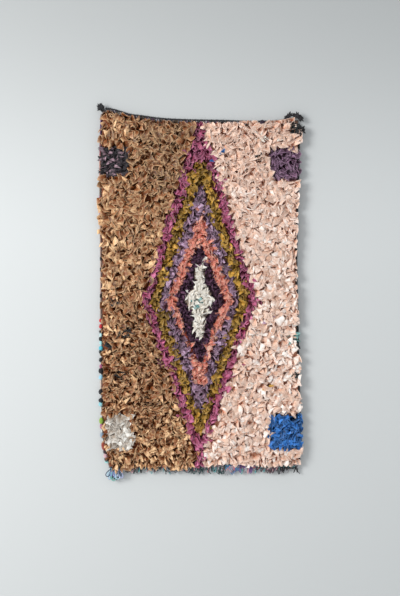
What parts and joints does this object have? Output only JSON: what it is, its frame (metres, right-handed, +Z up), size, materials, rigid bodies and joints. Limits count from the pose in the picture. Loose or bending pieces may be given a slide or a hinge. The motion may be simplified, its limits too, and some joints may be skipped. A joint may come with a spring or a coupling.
{
  "type": "knotted rag rug",
  "caption": "Hung knotted rag rug with a tan and a pale pink field, a tall nested lozenge, corner squares, corner knots and a short fringe.",
  "frame": {"origin": "on the back plane, at the top of the cord in the middle of the hanging edge", "axes": "+Z up along the rug's length, +X to the right as seen from the front, +Y out of the flat back towards the wall"},
  "size_m": [1.0285, 0.0395, 1.8717],
  "materials": {
    "rags": "matt torn cotton and jersey strips",
    "charcoal_yarn": "matt fuzzy wool",
    "wrapped_rag": "matt rag wrapping in many colours",
    "aqua_yarn": "matt wool"
  },
  "bodies": {
    "root": {"rug_body": "rags", "top_cord": "charcoal_yarn", "left_selvedge": "wrapped_rag", "right_selvedge": "charcoal_yarn", "bottom_fringe": "charcoal_yarn", "corner_tassel": "aqua_yarn", "corner_knot": "charcoal_yarn", "corner_loop": "charcoal_yarn"}
  },
  "joints": []
}
